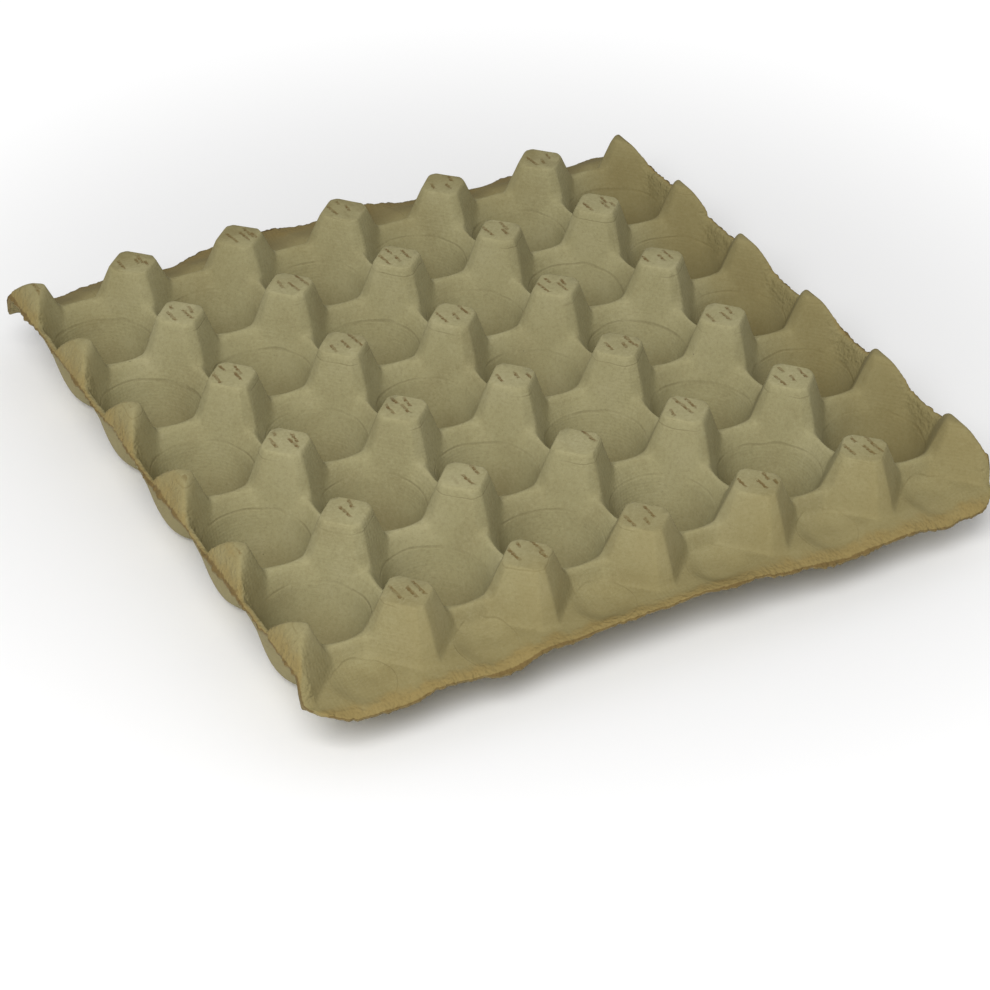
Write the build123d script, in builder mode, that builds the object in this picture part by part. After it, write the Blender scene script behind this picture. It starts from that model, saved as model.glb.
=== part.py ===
from build123d import *
from math import atan2, cos, degrees, pi, radians, sin, tan
import os

# Egg tray of moulded paper pulp, one piece: a grid of cups between hollow posts.
# X runs along the longer row of cells, Y along the shorter one, Z up.
# The origin is under the middle of the tray, on the surface that it stands on.

# Driving dimensions, in millimetres and degrees
cells_x = 6
cells_y = 5
cell_flats = 16          # flat panels round each cup, some square to its posts and saddles
pitch_x = 47.6
pitch_y = 49.2
wall = 1.8               # thickness of the pulp, square to its surface
height = 47.0            # feet to post tops
saddle_drop = 15.5       # post tops down to the saddles between neighbouring posts
side_drop = 12.0         # post tops down to the side rims
ring_drop = 22.6         # post tops down to the rings, and to the flanges at the ends
ring_radius = 19.4       # inside of the ring where a cell's wall turns into its cup
cone_draft = 30.0        # lean of a cell's wall between the ring and the saddles
face_draft = 16.7        # lean of the flat post faces that look into a cell
belly_radius = 15.4      # inside of the cup where its side turns in towards the foot
belly_height = 8.5       # height of that turn over the surface that the tray stands on
foot_radius = 9.5        # inside of the flat foot of each cup
post_reach = 9.5         # post axis to the middle of the narrow flank, at the top
flank_draft = 19.5       # lean of the narrow flanks
side_border = 0.8        # centre line of the edge posts to the rim, along X
side_lip = 0.4           # level lip outside the foot of the edge posts
end_border = 27.0        # centre line of the end posts to the rim, along Y
flange_fall = 1.0        # how far an end flange falls away to its rim
dish_reach = 14.2        # centre line of the end posts to the middle of the dishes beyond them
dish_flats = 8
dish_radius = 11.0       # middle of a dish to its flats, at the flange
dish_depth = 2.2
dish_draft = 50.0
corner_radius = 14.0

# Levels and overall sizes that follow from them
saddle_z = height - saddle_drop
side_z = height - side_drop
ring_z = height - ring_drop
posts_x = cells_x + 1
posts_y = cells_y + 1
end_post_y = cells_y * pitch_y / 2
next_row_y = end_post_y + pitch_y / 2
dish_y = end_post_y + dish_reach
tray_x = cells_x * pitch_x + 2 * side_border
tray_y = cells_y * pitch_y + 2 * end_border
cone_run = tan(radians(cone_draft))
face_run = tan(radians(face_draft))
flank_run = tan(radians(flank_draft))
past = 5.0               # how far the cutting solids run past the tray
over_z = height + past

# Inside of a cell from the top down, as (level, distance from the axis to the panels)
cell_inside = [
    (over_z, ring_radius + (over_z - ring_z) * cone_run),
    (ring_z, ring_radius),
    (belly_height, belly_radius),
    (wall, foot_radius),
]


def outset(stations, skin):
    """The same stations a skin further out and down, measured square to the wall."""
    leans = []
    for (upper_z, wide), (lower_z, narrow) in zip(stations, stations[1:]):
        leans.append(atan2(wide - narrow, upper_z - lower_z))
    floor_lean = pi / 2
    top_z, top_radius = stations[0]
    moved = [(top_z, top_radius + skin / cos(leans[0]))]
    for (level, radius), upper, lower in zip(stations[1:], leans, leans[1:] + [floor_lean]):
        middle = (upper + lower) / 2
        shift = skin / cos((upper - lower) / 2)
        moved.append((level - shift * sin(middle), radius + shift * cos(middle)))
    return moved


def edge_shift(draft, skin):
    """How far the edge of a level floor and a leaning face moves when both move by a skin."""
    return skin * tan(radians(90 - draft) / 2)


def cell_plug(skin):
    """What fills a cell: a cup, then a cone cut by the flat faces of the four posts round it.

    It is built upside down and turned over, since a drafted extrusion narrows as it rises.
    """
    stations = outset(cell_inside, skin)
    ring_level, ring_side = stations[1]
    rise = over_z - ring_level
    with BuildPart(mode=Mode.PRIVATE) as turned:
        for (upper_z, wide), (lower_z, narrow) in zip(stations, stations[1:]):
            drop = upper_z - lower_z
            with BuildSketch(Plane.XY.offset(over_z - upper_z)):
                RegularPolygon(wide, cell_flats, major_radius=False, rotation=180 / cell_flats)
            extrude(amount=drop, taper=degrees(atan2(wide - narrow, drop)))
            if upper_z == over_z:
                with BuildSketch():
                    across = 2 * (ring_side + rise * face_run)
                    Rectangle(across, across, rotation=45)
                extrude(amount=rise, taper=face_draft, mode=Mode.INTERSECT)
    return Pos(0, 0, over_z) * Rot(180, 0, 0) * turned.part


def end_plug(skin):
    """What is cut away beyond two end posts: their flat faces and the back of their saddle.

    Its axis is that of the next row of cells, and it is turned over like a cell's plug.
    """
    flange_level = ring_z - skin
    rise = over_z - flange_level
    growth = edge_shift(face_draft, skin) + rise * face_run
    faces = 2 * (ring_radius + growth)
    back = 2 * (next_row_y - dish_y + dish_radius + growth)
    with BuildPart(mode=Mode.PRIVATE) as turned:
        with BuildSketch():
            Rectangle(faces, faces, rotation=45)
            Rectangle(back, back, mode=Mode.INTERSECT)
        extrude(amount=rise, taper=face_draft)
    return Pos(0, 0, over_z) * Rot(180, 0, 0) * turned.part


def dish_plug(skin):
    """The shallow dish in an end flange, turned over as well."""
    wide = dish_radius + edge_shift(dish_draft, skin)
    with BuildPart(mode=Mode.PRIVATE) as turned:
        with BuildSketch():
            RegularPolygon(wide, dish_flats, major_radius=False, rotation=180 / dish_flats)
        extrude(amount=dish_depth, taper=dish_draft)
    return Pos(0, 0, ring_z - skin) * Rot(180, 0, 0) * turned.part


def side_bars(skin):
    """The raised rims along both sides, with the faces that they turn to the cells."""
    ring_level, ring_side = outset(cell_inside, skin)[1]
    top_z = side_z - skin
    foot_x = (cells_x - 1) / 2 * pitch_x + ring_side
    top_x = foot_x + (top_z - ring_level) * face_run
    rim_x = tray_x / 2 + (past if skin else 0)
    top_y = end_post_y + post_reach + side_drop * flank_run - edge_shift(flank_draft, skin)
    foot_y = top_y + (top_z - ring_level) * flank_run
    with BuildPart(mode=Mode.PRIVATE) as bars:
        with BuildSketch(Plane.XZ):
            with BuildLine():
                Polyline(
                    (foot_x, ring_level),
                    (top_x, top_z),
                    (rim_x, top_z),
                    (rim_x, ring_level),
                    close=True,
                )
            make_face()
            mirror(about=Plane.YZ)
        extrude(amount=foot_y, both=True)
        with BuildSketch(Plane.YZ):
            with BuildLine():
                Polyline(
                    (-foot_y, ring_level),
                    (-top_y, top_z),
                    (top_y, top_z),
                    (foot_y, ring_level),
                    close=True,
                )
            make_face()
        extrude(amount=rim_x, both=True, mode=Mode.INTERSECT)
    return bars.part


def form(skin):
    """The body under one surface of the pulp: its top for skin 0, its underside for skin = wall.

    Flanks are set in by the skin, cells are set out by it, and every level drops by it.
    """
    inset = edge_shift(flank_draft, skin)
    low_z = -past if skin else 0
    reach = past if skin else 0
    shoulder_y = end_post_y + post_reach + saddle_drop * flank_run - inset
    flange_y = shoulder_y + (saddle_z - ring_z) * flank_run
    rim_y = tray_y / 2 + reach
    rim_x = tray_x / 2 + reach
    lip_x = tray_x / 2 - side_lip - inset
    crest_x = lip_x - side_drop * flank_run

    with BuildPart() as body:
        # Long section: saddle level, sloping ends, end flanges
        with BuildSketch(Plane.YZ):
            with BuildLine():
                Polyline(
                    (-rim_y, low_z),
                    (-rim_y, ring_z - flange_fall - skin),
                    (-flange_y, ring_z - skin),
                    (-shoulder_y, saddle_z - skin),
                    (shoulder_y, saddle_z - skin),
                    (flange_y, ring_z - skin),
                    (rim_y, ring_z - flange_fall - skin),
                    (rim_y, low_z),
                    close=True,
                )
            make_face()
        extrude(amount=rim_x, both=True)

        # Posts: square frusta, one at each corner of each cell
        with BuildSketch(Plane.XY.offset(saddle_z - skin)):
            with GridLocations(pitch_x, pitch_y, posts_x, posts_y):
                side = 2 * (post_reach + saddle_drop * flank_run - inset)
                Rectangle(side, side)
        extrude(amount=saddle_drop, taper=flank_draft)

        # Cross section: the edge posts are cut off by a sloping outer face
        with BuildSketch(Plane.XZ):
            with BuildLine():
                Polyline(
                    (-rim_x, low_z),
                    (-rim_x, side_z - skin),
                    (-lip_x, side_z - skin),
                    (-crest_x, height - skin),
                    (crest_x, height - skin),
                    (lip_x, side_z - skin),
                    (rim_x, side_z - skin),
                    (rim_x, low_z),
                    close=True,
                )
            make_face()
        extrude(amount=tray_y, both=True, mode=Mode.INTERSECT)

        # Cells, the side rims beside them, then the end faces and their dishes
        cell = cell_plug(skin)
        end = end_plug(skin)
        dish = dish_plug(skin)
        with GridLocations(pitch_x, pitch_y, cells_x, cells_y):
            add(cell, mode=Mode.SUBTRACT)
        add(side_bars(skin))
        with GridLocations(pitch_x, 2 * next_row_y, cells_x, 2):
            add(end, mode=Mode.SUBTRACT)
        with GridLocations(pitch_x, 2 * dish_y, cells_x, 2):
            add(dish, mode=Mode.SUBTRACT)
    return body.part


with BuildPart() as tray:
    add(form(0))
    with BuildSketch():
        RectangleRounded(tray_x, tray_y, corner_radius)
    extrude(amount=height, mode=Mode.INTERSECT)
    add(form(wall), mode=Mode.SUBTRACT)

os.makedirs("parts", exist_ok=True)
tray.part.label = "egg_tray"
export_step(tray.part, "parts/egg_tray.step")
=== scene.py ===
import math

import bpy
import numpy as np
from mathutils import Matrix, Vector


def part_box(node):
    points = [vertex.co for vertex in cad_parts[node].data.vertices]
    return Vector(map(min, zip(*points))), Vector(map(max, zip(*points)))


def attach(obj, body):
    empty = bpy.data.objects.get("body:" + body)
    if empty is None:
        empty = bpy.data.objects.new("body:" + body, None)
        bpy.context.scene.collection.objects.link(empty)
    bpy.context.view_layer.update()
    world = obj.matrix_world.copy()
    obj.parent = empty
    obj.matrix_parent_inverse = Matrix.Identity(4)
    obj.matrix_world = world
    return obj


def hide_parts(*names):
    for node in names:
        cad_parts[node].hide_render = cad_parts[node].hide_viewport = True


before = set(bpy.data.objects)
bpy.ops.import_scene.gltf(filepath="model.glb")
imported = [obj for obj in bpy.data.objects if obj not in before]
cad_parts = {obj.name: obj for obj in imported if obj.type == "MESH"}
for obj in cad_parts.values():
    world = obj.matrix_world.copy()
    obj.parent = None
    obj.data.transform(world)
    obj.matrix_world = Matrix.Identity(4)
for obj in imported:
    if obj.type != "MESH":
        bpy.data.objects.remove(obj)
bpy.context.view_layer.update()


# The tray: one sheet of paper pulp, about 1.8 mm thick, sucked from a slurry of waste paper onto
# a wire mould, pressed and dried. The mould gives it cups for the eggs, hollow posts between
# them and low saddles from post to post. Its rims are left as they come off the mould, ragged.
mm = 0.001
wall = 1.8 * mm
_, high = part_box("egg_tray")
half_x = high.x
half_y = high.y
post_top = high.z

# In plan: six columns of cells by five rows, with a post at every corner of a cell
columns = 6
rows = 5
side_border = 0.8 * mm
end_border = 27.0 * mm
pitch_x = (2 * half_x - 2 * side_border) / columns
pitch_y = (2 * half_y - 2 * end_border) / rows
last_post_x = columns * pitch_x / 2
last_post_y = rows * pitch_y / 2
corner_radius = 14 * mm

# The ring is the seam where the flared wall of a cell turns into its round cup
ring_level = post_top - 22.6 * mm
ring_radius = 19.4 * mm


def soft_min(a, b, blend):
    """The lower of two faces, rounded where they come within a blend of each other."""
    share = np.clip(0.5 + (b - a) / (2 * blend), 0, 1)
    return b + (a - b) * share - blend * share * (1 - share)


def soft_max(a, b, blend):
    """The higher of two faces, rounded in the same way."""
    return -soft_min(-a, -b, blend)


def slope(distance, start, level, rise, skin):
    """A face that passes level at start and climbs by rise, moved square to itself by the skin."""
    return level + (distance - start) * rise - skin * math.hypot(1, rise)


def off_nearest(value, count, pitch):
    """Signed distance from the nearest of count places, evenly spaced about the middle."""
    first = -(count - 1) / 2
    place = np.clip(np.round(value / pitch - first), 0, count - 1) + first
    return value - place * pitch


# Posts and saddles: a post has four drafted flanks; one on a side rim is half a post, with a
# sloping outer face and a rounder shoulder
saddle_level = post_top - 15.5 * mm
side_level = post_top - 12.0 * mm
post_reach = 9.5 * mm
flank_rise = 1 / math.tan(math.radians(19.5))
face_rise = 1 / math.tan(math.radians(16.7))
side_lip = 0.4 * mm
lip_x = half_x - side_lip
rim_foot_x = last_post_x - pitch_x / 2 + ring_radius
rim_setback = 3 * mm
facet_blend = 1.3 * mm
shoulder_blend = 8 * mm
root_blend = 4.0 * mm


def posts_and_saddles(x, y, skin):
    """The mould's high ground: posts, saddles, side rims and the slopes at the ends."""
    across = np.abs(off_nearest(x, columns + 1, pitch_x))
    along = np.abs(off_nearest(y, rows + 1, pitch_y))
    across = np.where(np.abs(x) > last_post_x, 0, across)
    along = np.where(np.abs(y) > last_post_y, 0, along)
    post = soft_min(
        slope(across, post_reach, post_top, -flank_rise, skin),
        slope(along, post_reach, post_top, -flank_rise, skin),
        facet_blend,
    )
    side_flank = slope(np.abs(x), lip_x, side_level, -flank_rise, skin)
    shoulder = soft_min(side_flank, post_top - skin, shoulder_blend)
    post = soft_min(post, shoulder, facet_blend)
    ground = soft_max(post, saddle_level - skin, root_blend)
    side_rim = slope(np.abs(x), rim_foot_x - rim_setback, ring_level, face_rise, skin)
    ground = soft_max(ground, np.minimum(side_rim, side_level - skin), facet_blend)
    end_slope = slope(np.abs(y), last_post_y + post_reach, post_top, -flank_rise, skin)
    return soft_min(ground, end_slope, facet_blend)


# Cells: a flat foot, a round belly, the ring, then a flare cut by the faces of four posts
belly_level = 8.5 * mm
belly_radius = 15.4 * mm
foot_radius = 9.5 * mm
heel_rise = (belly_level - wall) / (belly_radius - foot_radius)
cup_rise = (ring_level - belly_level) / (ring_radius - belly_radius)
cone_rise = 1 / math.tan(math.radians(30))
foot_blend = 2.5 * mm
belly_blend = 9 * mm
ring_blend = 0.8 * mm
flare_blend = 2.0 * mm


def cell_surface(x, y, skin):
    """The inside of a cell: a round cup, and above its ring the faces of four posts."""
    in_x = off_nearest(x, columns, pitch_x)
    in_y = off_nearest(y, rows, pitch_y)
    radius = np.hypot(in_x, in_y)
    diagonal = (np.abs(in_x) + np.abs(in_y)) / math.sqrt(2)
    cone = slope(radius, ring_radius, ring_level, cone_rise, skin)
    face = slope(diagonal, ring_radius, ring_level, face_rise, skin)
    upper = soft_max(cone, face, flare_blend)
    side_face = slope(np.abs(x), rim_foot_x, ring_level, face_rise, skin)
    upper = soft_max(upper, np.minimum(side_face, side_level - skin), flare_blend)
    cup_side = slope(radius, belly_radius, belly_level, cup_rise, skin)
    heel = slope(radius, foot_radius, wall, heel_rise, skin)
    cup = soft_max(heel, wall - skin, foot_blend)
    return soft_max(cup, soft_min(cup_side, upper, ring_blend), belly_blend)


# Ends: a level flange beyond the last posts, which falls a little to its rim, with a shallow
# round dish in front of every cell
flange_y = last_post_y + post_reach + (post_top - ring_level) / flank_rise
flange_fall = 1.0 * mm
dish_reach = 14.2 * mm
dish_radius = 11.0 * mm
dish_depth = 2.2 * mm
dish_rise = 1 / math.tan(math.radians(50))
dish_blend = 1.2 * mm
back_reach = pitch_y / 2 - dish_reach + dish_radius


def end_faces(x, y, skin):
    """Beyond the last posts: their two flat faces and the back of the saddle between them."""
    in_x = np.abs(off_nearest(x, columns, pitch_x))
    in_y = np.abs(last_post_y + pitch_y / 2 - np.abs(y))
    face = slope((in_x + in_y) / math.sqrt(2), ring_radius, ring_level, face_rise, skin)
    return soft_max(face, slope(in_y, back_reach, ring_level, face_rise, skin), flare_blend)


def flange(x, y, skin):
    """The level flange at each end, with a shallow dish in front of every cell."""
    out = np.clip((np.abs(y) - flange_y) / (half_y - flange_y), 0, 1)
    land = ring_level - flange_fall * out - skin
    radius = np.hypot(off_nearest(x, columns, pitch_x), np.abs(y) - last_post_y - dish_reach)
    dish = slope(radius, dish_radius, ring_level, dish_rise, skin)
    dish = soft_max(dish, ring_level - dish_depth - skin, root_blend)
    return soft_min(land, dish, dish_blend)


# The top edges of posts and saddles are round, and those of the posts on the side rims rounder
rim_blend = 2.4 * mm
side_post_blend = 7 * mm
side_post_fade = 8 * mm
side_post_climb = 6 * mm


def pulp_level(x, y, skin):
    """Height of the tray's top face for skin 0, or of its underside for skin = wall."""
    ground = posts_and_saddles(x, y, skin)
    side_post = np.clip((np.abs(x) - last_post_x) / side_post_fade + 1.5, 0, 1)
    climbed = np.clip((ground - side_level) / side_post_climb, 0, 1)
    blend = rim_blend + side_post_blend * side_post * climbed
    inner = soft_min(ground, cell_surface(x, y, skin), blend)
    beyond = soft_min(ground, end_faces(x, y, skin), blend)
    outer = soft_max(beyond, flange(x, y, skin), root_blend)
    return np.where(np.abs(y) > last_post_y, outer, inner)


grid_step = 0.65 * mm
count_x = 2 * round(half_x / grid_step) + 1
count_y = 2 * round(half_y / grid_step) + 1
line_x = np.linspace(-half_x, half_x, count_x)
line_y = np.linspace(-half_y, half_y, count_y)
plan_x, plan_y = np.meshgrid(line_x, line_y)
inside = np.minimum(half_x - np.abs(plan_x), half_y - np.abs(plan_y))

# The square corners of the grid are drawn in to the tray's round ones
straight_x = half_x - corner_radius
straight_y = half_y - corner_radius
in_x = (np.abs(plan_x) - straight_x) / corner_radius
in_y = (np.abs(plan_y) - straight_y) / corner_radius
corner = (in_x > 0) & (in_y > 0)
round_x = in_x * np.sqrt(np.clip(1 - in_y ** 2 / 2, 0, 1))
round_y = in_y * np.sqrt(np.clip(1 - in_x ** 2 / 2, 0, 1))
plan_x = np.where(corner, np.sign(plan_x) * (straight_x + corner_radius * round_x), plan_x)
plan_y = np.where(corner, np.sign(plan_y) * (straight_y + corner_radius * round_y), plan_y)

chance = np.random.default_rng(30)


def ripple(x, y, longest, shortest, count=14):
    """Smooth unevenness of about -1 to 1, from waves of different lengths and directions."""
    total = 0
    for length in np.geomspace(longest, shortest, count):
        turn, _, start = chance.uniform(0, 2 * math.pi, 3)
        way = x * math.cos(turn) + y * math.sin(turn)
        total = total + np.sin(2 * math.pi * way / length + start)
    return total / math.sqrt(count)


# Wet pulp shrinks unevenly as it dries, so posts lean and faces bulge by a few tenths of a
# millimetre, and the posts of the outer rows stay a little shorter than the others
lean_x = 0.4 * mm * ripple(plan_x, plan_y, 190 * mm, 60 * mm)
lean_y = 0.4 * mm * ripple(plan_x, plan_y, 190 * mm, 60 * mm)
swell = 0.07 * mm * ripple(plan_x, plan_y, 40 * mm, 9 * mm)
warp = 0.12 * mm * ripple(plan_x, plan_y, 320 * mm, 90 * mm)
end_row = np.clip((np.abs(plan_y) - last_post_y + 0.5 * pitch_y) / (0.15 * pitch_y), 0, 1)
side_row = np.clip((np.abs(plan_x) - last_post_x + 0.5 * pitch_x) / (0.15 * pitch_x), 0, 1)
front_shorter = 2.4 * mm
back_shorter = 3.2 * mm
side_shorter = 1.0 * mm
end_shorter = np.where(plan_y < 0, front_shorter, back_shorter)
shorter = np.maximum(end_shorter * end_row, side_shorter * side_row)

# The end flanges droop in front of most cups, and rise a little in the middle and at the left
# corners: how far their rims fall at the corner post, the first cup, the next post and so on
rim_falls = np.array([-1.0, 4.2, 1.4, 4.2, -0.8, -1.4, -0.6, -2.6, 1.2, 4.4, 2.2, 4.3, 3.0]) * mm
spot = np.clip(plan_x / (pitch_x / 2) + columns, 0, 2 * columns - 1e-6)
before = np.floor(spot).astype(int)
share = (spot - before) ** 2 * (3 - 2 * (spot - before))
droop = (1 - share) * rim_falls[before] + share * rim_falls[before + 1]
droop = droop + 0.5 * mm * ripple(plan_x, plan_y, 60 * mm, 14 * mm)
droop_reach = 12 * mm
to_rim = np.clip((np.abs(plan_y) - half_y + droop_reach) / droop_reach, 0, 1) ** 1.6

# All the rims are a deckle edge: they wander by a millimetre or so, fray and thin out
ragged_reach = 4 * mm
pinched_reach = 1.7 * mm
near_rim = np.clip(1 - inside / ragged_reach, 0, 1) ** 2
at_rim = np.clip(1 - inside / pinched_reach, 0, 1) ** 2
wander = 0.55 * mm * ripple(plan_x, plan_y, 60 * mm, 12 * mm)
wander = wander + 0.3 * mm * ripple(plan_x, plan_y, 7 * mm, 2 * mm)
fray = 0.2 * mm * ripple(plan_x, plan_y, 6 * mm, 1.8 * mm) * near_rim
side_way = np.where(half_x - np.abs(plan_x) < half_y - np.abs(plan_y), 1, 0)
end_way = 1 - side_way


def surface(skin):
    """Points of the tray's top for skin 0, or of its underside for skin = wall."""
    z = pulp_level(plan_x, plan_y, skin)
    slope_y, slope_x = np.gradient(z, axis=(0, 1))
    slope_x = slope_x / np.gradient(plan_x, axis=1)
    slope_y = slope_y / np.gradient(plan_y, axis=0)
    length = np.sqrt(1 + slope_x ** 2 + slope_y ** 2)
    pinch = (0.5 if skin else -0.25) * mm * at_rim
    x = plan_x + lean_x - slope_x / length * swell + np.sign(plan_x) * wander * near_rim * side_way
    y = plan_y + lean_y - slope_y / length * swell + np.sign(plan_y) * wander * near_rim * end_way
    z = z - shorter * np.clip((z + skin - saddle_level) / (post_top - saddle_level), 0, 1)
    z = z + warp + swell / length - droop * to_rim + pinch + fray
    return np.stack([x, y, z], axis=-1).reshape(-1, 3)


# Top and underside lie on the same grid, and a strip of quads closes them round the rim
index = np.arange(count_x * count_y).reshape(count_y, count_x)
quad_corners = [index[:-1, :-1], index[:-1, 1:], index[1:, 1:], index[1:, :-1]]
quads_top = np.stack(quad_corners, axis=-1).reshape(-1, 4)
quads_under = quads_top[:, ::-1] + index.size
edge = np.concatenate([index[0, :-1], index[:-1, -1], index[-1, :0:-1], index[:0:-1, 0]])
after = np.roll(edge, -1)
quads_edge = np.stack([edge, edge + index.size, after + index.size, after], axis=-1)

points = np.concatenate([surface(0), surface(wall)])
points[:, 2] -= points[:, 2].min()
faces = np.concatenate([quads_top, quads_under, quads_edge])
dense = bpy.data.meshes.new("dense_pulp")
dense.from_pydata(points, [], faces)
tray = bpy.data.objects.new("moulded_tray", dense)
bpy.context.scene.collection.objects.link(tray)

# Flat faces need few triangles and round edges many, which the thinning sorts out
most_triangles = 190000
thinning = tray.modifiers.new("thinning", "DECIMATE")
thinning.ratio = most_triangles / (2 * len(faces))
thinning.use_collapse_triangulate = True
thinned = tray.evaluated_get(bpy.context.evaluated_depsgraph_get())
skin_mesh = bpy.data.meshes.new_from_object(thinned)
tray.modifiers.clear()
tray.data = skin_mesh
skin_mesh.name = "moulded_tray"
skin_mesh.shade_smooth()


def srgb(red, green, blue):
    """A colour read off a swatch, from 0 to 255, as the linear values that a shader takes."""
    return tuple(((part / 255 + 0.055) / 1.055) ** 2.4 for part in (red, green, blue)) + (1.0,)


class Signal:
    """A socket in a material, so that masks and colours are written as plain arithmetic."""

    def __init__(self, socket):
        self.socket = socket

    def node(self, kind, settings, links, output=0):
        """A new node beside this one: its settings first, then values or links of its sockets."""
        tree = self.socket.id_data
        made = tree.nodes.new(kind)
        for name, value in settings.items():
            if name == "stops":
                ramp = made.color_ramp.elements
                while len(ramp) < len(value):
                    ramp.new(1.0)
                for stop, (place, colour) in zip(ramp, value):
                    stop.position = place
                    stop.color = colour
            else:
                setattr(made, name, value)
        for name, value in links.items():
            if isinstance(value, Signal):
                tree.links.new(value.socket, made.inputs[name])
            else:
                made.inputs[name].default_value = value
        return Signal(made.outputs[output])

    def feed(self, shader, name):
        """Drives one of a shader's sockets."""
        self.socket.id_data.links.new(self.socket, shader.inputs[name])

    def math(self, operation, *others):
        links = dict(enumerate((self,) + others))
        return self.node("ShaderNodeMath", {"operation": operation}, links)

    def reflected(self, operation, first):
        return self.node("ShaderNodeMath", {"operation": operation}, {0: first, 1: self})

    def __add__(self, other):
        return self.math("ADD", other)

    def __sub__(self, other):
        return self.math("SUBTRACT", other)

    def __mul__(self, other):
        return self.math("MULTIPLY", other)

    def __truediv__(self, other):
        return self.math("DIVIDE", other)

    def __radd__(self, other):
        return self.reflected("ADD", other)

    def __rsub__(self, other):
        return self.reflected("SUBTRACT", other)

    def __rmul__(self, other):
        return self.reflected("MULTIPLY", other)

    def __rtruediv__(self, other):
        return self.reflected("DIVIDE", other)

    def __abs__(self):
        return self.math("ABSOLUTE")

    def rises(self, start, stop):
        """0 before start, 1 past stop, and smooth between; it falls where stop is the lower."""
        ends = {"Value": self, "From Min": start, "From Max": stop}
        return self.node("ShaderNodeMapRange", {"interpolation_type": "SMOOTHSTEP"}, ends)

    def mixed(self, other, share):
        """This colour with another laid over it by a share."""
        return self.node("ShaderNodeMix", {"data_type": "RGBA"}, {0: share, 6: self, 7: other}, 2)

    def part(self, number):
        """The x, y or z of a vector, by its number from 0."""
        return self.node("ShaderNodeSeparateXYZ", {}, {0: self}, number)


def speckle(place, size, detail=3.0, rough=0.55):
    """Cloudy noise about a half, with patches of the given size in metres."""
    links = {"Vector": place, "Scale": 1 / size, "Detail": detail, "Roughness": rough}
    return place.node("ShaderNodeTexNoise", {}, links)


def streaks(place, turn, long, thin):
    """Noise drawn out along one direction in plan, for the fibres that lie in the pulp."""
    links = {"Vector": place, "Angle": turn}
    turned = place.node("ShaderNodeVectorRotate", {"rotation_type": "Z_AXIS"}, links)
    links = {0: turned, 1: (1 / long, 1 / thin, 1 / thin)}
    drawn = turned.node("ShaderNodeVectorMath", {"operation": "MULTIPLY"}, links)
    links = {"Vector": drawn, "Scale": 1.0, "Detail": 0.0}
    return drawn.node("ShaderNodeTexNoise", {}, links).rises(0.64, 0.72)


def from_grid(value, pitch, offset):
    """Distance from the nearest line of a grid, and how many pitches out that line lies."""
    steps = (value / pitch - offset).math("ROUND") + offset
    return value - steps * pitch, steps


pulp = bpy.data.materials.new("moulded_paper_pulp")
pulp.use_nodes = True
shader = pulp.node_tree.nodes["Principled BSDF"]
shader.inputs["IOR"].default_value = 1.45
shader.inputs["Specular IOR Level"].default_value = 0.3
place = Signal(shader.outputs["BSDF"]).node("ShaderNodeTexCoord", {}, {}, "Object")
x, y, z = (place.part(number) for number in range(3))
upward = place.node("ShaderNodeNewGeometry", {}, {}, "Normal").part(2)
on_top = upward.rises(-0.05, 0.05)
level_part = upward.rises(0.75, 0.97)

# Colour of the pulp: khaki grey, cloudy, with darker and lighter fibres and a few ink specks
clouds = speckle(place, 22 * mm)
grain = speckle(place, 1.3 * mm, 2.0, 0.6)
fine = speckle(place, 0.6 * mm, 1.0)
khaki = [(0.30, srgb(146, 138, 100)), (0.50, srgb(154, 147, 108)), (0.72, srgb(160, 153, 115))]
colour = place.node("ShaderNodeValToRGB", {"stops": khaki}, {"Fac": clouds})
colour = colour.mixed(srgb(122, 112, 78), (0.5 - grain).rises(0.0, 0.2) * 0.22)
colour = colour.mixed(srgb(176, 169, 134), (grain - 0.5).rises(0.0, 0.2) * 0.18)
dark_fibres = streaks(place, 0.4, 3.2 * mm, 0.16 * mm)
pale_fibres = streaks(place, 2.5, 2.8 * mm, 0.15 * mm)
colour = colour.mixed(srgb(112, 99, 66), dark_fibres * 0.25)
colour = colour.mixed(srgb(186, 180, 146), pale_fibres * 0.22)
specks = place.node("ShaderNodeTexVoronoi", {}, {"Vector": place, "Scale": 1 / (14 * mm)})
colour = colour.mixed(srgb(70, 62, 48), specks.rises(0.028, 0.012) * 0.55)

# Print of the wire mould: a fine mesh that shows best on the faces of the posts
wire_gap = 1.5 * mm
wire_gap_up = 1.3 * mm
wires_x = (x * (2 * math.pi / wire_gap)).math("SINE")
wires_y = (y * (2 * math.pi / wire_gap)).math("SINE")
wires_z = (z * (2 * math.pi / wire_gap_up)).math("SINE")
mesh_print = (wires_x + wires_y + wires_z * (1 - level_part)) * on_top
mesh_print = mesh_print * speckle(place, 30 * mm, 1.0).rises(0.35, 0.65)

# The seam of the ring, round each cup and round each dish, is a thin pressed groove; its darker
# colour is painted shade in the crease
line_half = 0.3 * mm
line_core = 0.05 * mm
cell_x, _ = from_grid(x, pitch_x, 0.5)
cell_y, _ = from_grid(y, pitch_y, 0.0)
from_axis = (cell_x * cell_x + cell_y * cell_y).math("SQRT")
ring_wobble = (speckle(place, 25 * mm, 1.0) - 0.5) * (0.8 * mm)
at_ring_level = abs(z - ring_level).rises(3 * mm, 1.5 * mm)
ring_line = abs(from_axis - (ring_radius + 0.4 * mm) + ring_wobble).rises(line_half, line_core)
ring_line = ring_line * on_top * abs(y).rises(last_post_y, last_post_y - 1 * mm) * at_ring_level
dish_y = abs(y) - last_post_y - dish_reach
from_dish = (cell_x * cell_x + dish_y * dish_y).math("SQRT")
dish_line = abs(from_dish - dish_radius - 0.5 * mm + ring_wobble).rises(line_half, line_core)
dish_line = dish_line * on_top * abs(y).rises(last_post_y + 1 * mm, last_post_y + 2 * mm)
seam_groove_and_shade = ring_line + dish_line * at_ring_level
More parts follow.
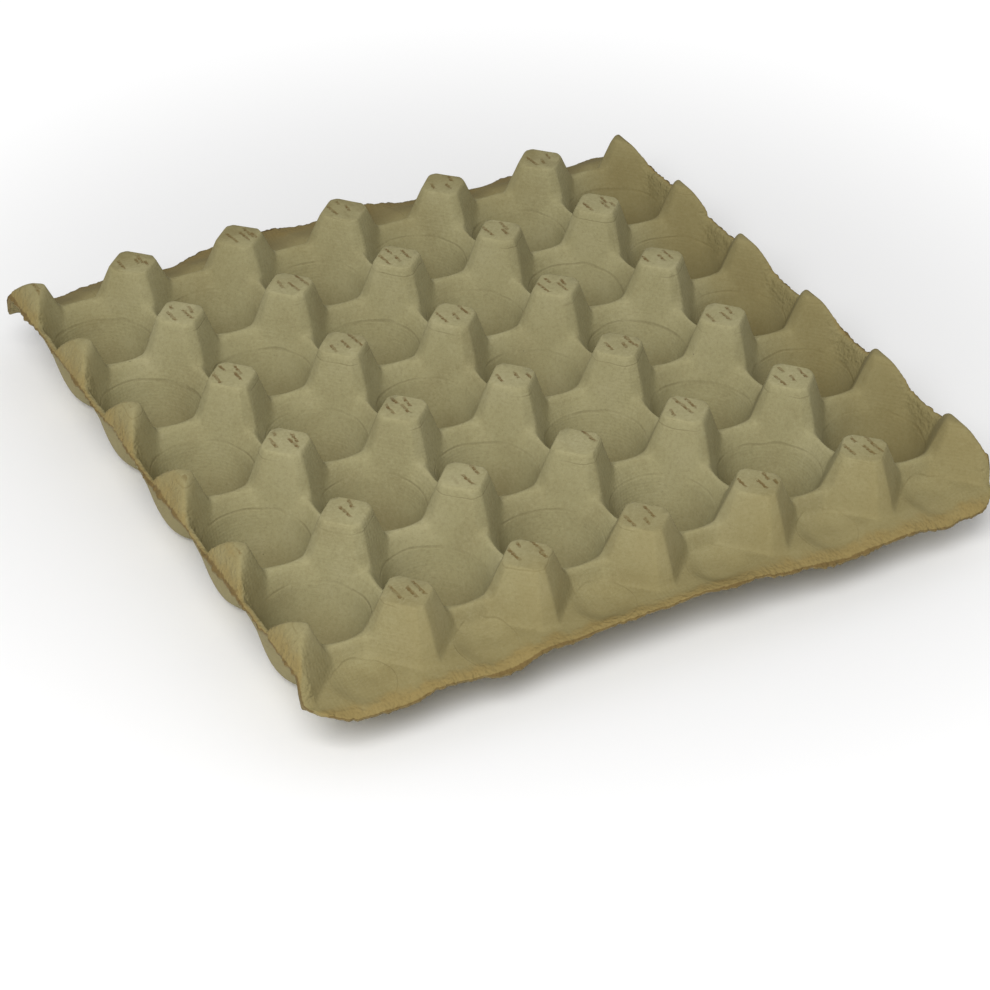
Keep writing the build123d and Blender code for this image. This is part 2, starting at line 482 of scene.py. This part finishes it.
seam_groove_and_shade = seam_groove_and_shade * (0.25 + 0.75 * speckle(place, 18 * mm, 1.0).rises(0.4, 0.6))
# Painted shade along the seam lines
colour = colour.mixed(srgb(104, 94, 62), seam_groove_and_shade * 0.27)

# A faint line under the cap of each post
cap_depth = 3.0 * mm
cap_wobble = (speckle(place, 9 * mm, 1.0) - 0.5) * (2.2 * mm)
cap_line = abs(z - (post_top - cap_depth) + cap_wobble).rises(0.35 * mm, 0.05 * mm)
cap_line = cap_line * on_top * speckle(place, 15 * mm, 1.0).rises(0.42, 0.6)
colour = colour.mixed(srgb(112, 101, 68), cap_line * 0.3)

# Brown scuffs on the caps, two to five on each, all along the way that the tray left its mould
post_x, post_i = from_grid(x, pitch_x, 0.0)
post_y, post_j = from_grid(y, pitch_y, 0.5)
post_id = place.node("ShaderNodeCombineXYZ", {}, {0: post_i, 1: post_j, 2: 0.0})
ragged = (grain - 0.5) * (2.0 * mm)


def scuff(number, mid_x, mid_y, half_long, rarity):
    """A scuff on each cap, about a place off the post's axis, and left out on a share of them."""
    links = {0: post_id, 1: (0.37 * number, 2.9 * number, 11.3 + number)}
    seed = post_id.node("ShaderNodeVectorMath", {"operation": "ADD"}, links)
    draw = seed.node("ShaderNodeTexWhiteNoise", {}, {"Vector": seed}, "Color")
    draw_a, draw_b, draw_c = (
        draw.node("ShaderNodeSeparateColor", {}, {0: draw}, part) for part in range(3))
    lean = (post_y - mid_y * mm) * ((draw_c - 0.5) * 0.3)
    off_x = post_x - mid_x * mm - (draw_a - 0.5) * (2.6 * mm) + lean
    off_y = post_y - mid_y * mm - (draw_b - 0.5) * (3.4 * mm)
    half = (0.75 + draw_c * 0.9) * (half_long * mm)
    across = abs(off_x + ragged).rises(0.88 * mm, 0.38 * mm)
    along = (abs(off_y) - half + ragged * 2).rises(0.6 * mm, -0.4 * mm)
    return across * along * draw_b.rises(rarity, rarity + 0.05)


scuffs = scuff(0, -4.6, 0.5, 2.8, 0.02)
scuffs = scuffs.math("MAXIMUM", scuff(1, 1.0, -1.6, 2.4, 0.08))
scuffs = scuffs.math("MAXIMUM", scuff(2, 4.6, 1.4, 3.0, 0.08))
scuffs = scuffs.math("MAXIMUM", scuff(3, -1.0, 4.6, 1.5, 0.60))
scuffs = scuffs.math("MAXIMUM", scuff(4, 5.4, -4.4, 1.6, 0.66))
scuffs = scuffs * z.rises(post_top - 6 * mm, post_top - 5 * mm) * upward.rises(0.80, 0.92)
colour = colour.mixed(srgb(102, 79, 40), scuffs * (0.35 + 0.5 * grain.rises(0.4, 0.6)))

# Ochre borders, where the pulp is thin and coarse: the rims of the flanges, and the outer faces
# of the posts on the side rims, most of all at their foot and their cap
to_side = half_x - abs(x)
to_end = half_y - abs(y)
to_edge = to_side.math("MINIMUM", to_end)
blot = (speckle(place, 7 * mm, 2.0) - 0.5) * (8 * mm)
off_lip = abs(x) + (z - post_top) / flank_rise
side_face = off_lip.rises(lip_x - 6.2 * mm, lip_x - 4.6 * mm)
low_face = (z + blot).rises(side_level + 6 * mm, side_level + 1 * mm)
cap_blot = (z - blot * 1.5).rises(post_top - 5 * mm, post_top + 1 * mm)
side_tone = side_face * (0.25 + 0.6 * low_face.math("MAXIMUM", cap_blot))
border = (to_end + blot).rises(7 * mm, 2 * mm).math("MAXIMUM", side_tone)

# Brown rims: the bare edge of the sheet, and a hair's breadth of its top; their brown is partly
# the pulp's own and partly painted shade along the sideways edge
facing = place.node("ShaderNodeNewGeometry", {}, {}, "True Normal").part(2)
cut_edge = abs(facing).rises(0.28, 0.14) * to_edge.rises(3 * mm, 2 * mm)
rim_brown_and_shade = (to_edge + (grain - 0.5) * (0.9 * mm)).rises(0.45 * mm, 0.0 * mm)
rim_brown_and_shade = rim_brown_and_shade.math("MAXIMUM", cut_edge)

# The pulp is browner towards the front, back and right, less so to the left; deep in the cups it
# is painted darker with shade, and along the back flange it is painted darker with shadow
left_way = (half_x + x) * 1.5 + 12 * mm
inwards = to_end.math("MINIMUM", half_x - x).math("MINIMUM", left_way)
fading = (inwards + blot * 1.5).rises(44 * mm, 6 * mm)
cup_shade = z.rises(20 * mm, 4 * mm) * on_top
back_flange_shadow = y.rises(last_post_y + 12 * mm, last_post_y + 20 * mm)
underneath = 1 - on_top
colour = colour.mixed(srgb(119, 103, 54), fading * 0.5)
# Painted shade deep in the cups
colour = colour.mixed(srgb(112, 98, 58), cup_shade * 0.3)
colour = colour.mixed(srgb(141, 120, 70), border * 0.65)
# Painted shadow along the back flange
colour = colour.mixed(srgb(98, 86, 56), back_flange_shadow * 0.5)
# Brown of the deckle edge, with painted shade on the rim's sideways faces
colour = colour.mixed(srgb(98, 77, 42), rim_brown_and_shade * 0.7)
colour = colour.mixed(srgb(150, 139, 102), underneath * 0.4)

# Relief: a dry, dull skin of grain and lumps, coarser at the rims and underneath, with the print
# of the wires, the pressed lines and the scuffs in it
roughness = 0.86 + (grain - 0.5) * 0.12 + border * 0.06 - mesh_print * 0.01
coarse = 0.35 + border * 0.9 + underneath * 0.8
lumps = speckle(place, 2.0 * mm, 1.0, 0.6) * (to_edge + blot * 0.5).rises(7 * mm, 2 * mm)
relief = (grain - 0.5) * (0.07 * mm) * coarse + (fine - 0.5) * (0.05 * mm) * coarse
relief = relief + lumps * (0.9 * mm)
relief = relief + mesh_print * (0.014 * mm)
relief = relief - seam_groove_and_shade * (0.09 * mm) - cap_line * (0.06 * mm) - scuffs * (0.10 * mm)
bump = relief.node("ShaderNodeBump", {}, {"Strength": 1.0, "Distance": 1.0, "Height": relief})
colour.feed(shader, "Base Color")
roughness.feed(shader, "Roughness")
bump.feed(shader, "Normal")
skin_mesh.materials.clear()
skin_mesh.materials.append(pulp)

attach(tray, "root")
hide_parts("egg_tray")


# The floor: a sweep of pale board that the tray stands on. It takes the tray's shadow, and away
# from the tray it glows a little towards the camera, so that it looks as pale as the room.
bpy.ops.mesh.primitive_plane_add(size=12)
floor = bpy.context.object
floor.name = "floor"
sweep = bpy.data.materials.new("pale_sweep")
sweep.use_nodes = True
sweep_shader = sweep.node_tree.nodes["Principled BSDF"]
sweep_shader.inputs["Base Color"].default_value = (0.92, 0.92, 0.92, 1)
sweep_shader.inputs["Roughness"].default_value = 0.9
sweep_shader.inputs["Emission Strength"].default_value = 1
glow = 0.32
on_floor = Signal(sweep_shader.outputs["BSDF"]).node("ShaderNodeTexCoord", {}, {}, "Object")
far_off = on_floor.node("ShaderNodeVectorMath", {"operation": "LENGTH"}, {0: on_floor}, "Value")
in_view = on_floor.node("ShaderNodeLightPath", {}, {}, "Is Camera Ray")
glowing = in_view * far_off.rises(0.16, 0.45) * glow
glowing.feed(sweep_shader, "Emission Color")
floor.data.materials.append(sweep)


# The light: a white room, which lights the tray evenly from all round and looks brighter than
# the light that it gives, and one wide soft lamp, high over the tray's front left.
room = bpy.data.worlds.new("studio")
bpy.context.scene.world = room
room.use_nodes = True
backdrop = room.node_tree.nodes["Background"]
backdrop.inputs["Color"].default_value = (1, 1, 1, 1)
room_level = 0.44
seen_level = 0.95
seen = Signal(backdrop.outputs["Background"]).node("ShaderNodeLightPath", {}, {}, "Is Camera Ray")
strength = room_level + seen * (seen_level - room_level)
strength.feed(backdrop, "Strength")

lamp_data = bpy.data.lights.new("wide_lamp", "AREA")
lamp_data.energy = 28.5
lamp_data.size = 1.0
lamp = bpy.data.objects.new("wide_lamp", lamp_data)
lamp.location = (-0.83, -0.98, 1.42)
lamp.rotation_euler = (Vector((0, 0, 0)) - lamp.location).to_track_quat("-Z", "Y").to_euler()
bpy.context.scene.collection.objects.link(lamp)


# The camera: a long lens where the photograph was taken from, high over the tray's front left
# corner. Its place and its direction were fitted to the rows of post tops.
camera_data = bpy.data.cameras.new("camera")
camera_data.lens = 101.74
camera_data.sensor_width = 36
camera = bpy.data.objects.new("camera", camera_data)
stand = Matrix.Translation((-0.4405, -0.8008, 0.6397))
right = Vector((0.8788, -0.4768, 0.0176)).normalized()
ahead = Vector((0.3948, 0.7059, -0.5881)).normalized()
up = right.cross(ahead)
camera.matrix_world = stand @ Matrix((right, up, -ahead)).transposed().to_4x4()
bpy.context.scene.collection.objects.link(camera)
bpy.context.scene.camera = camera
bpy.context.scene.view_settings.view_transform = "Standard"
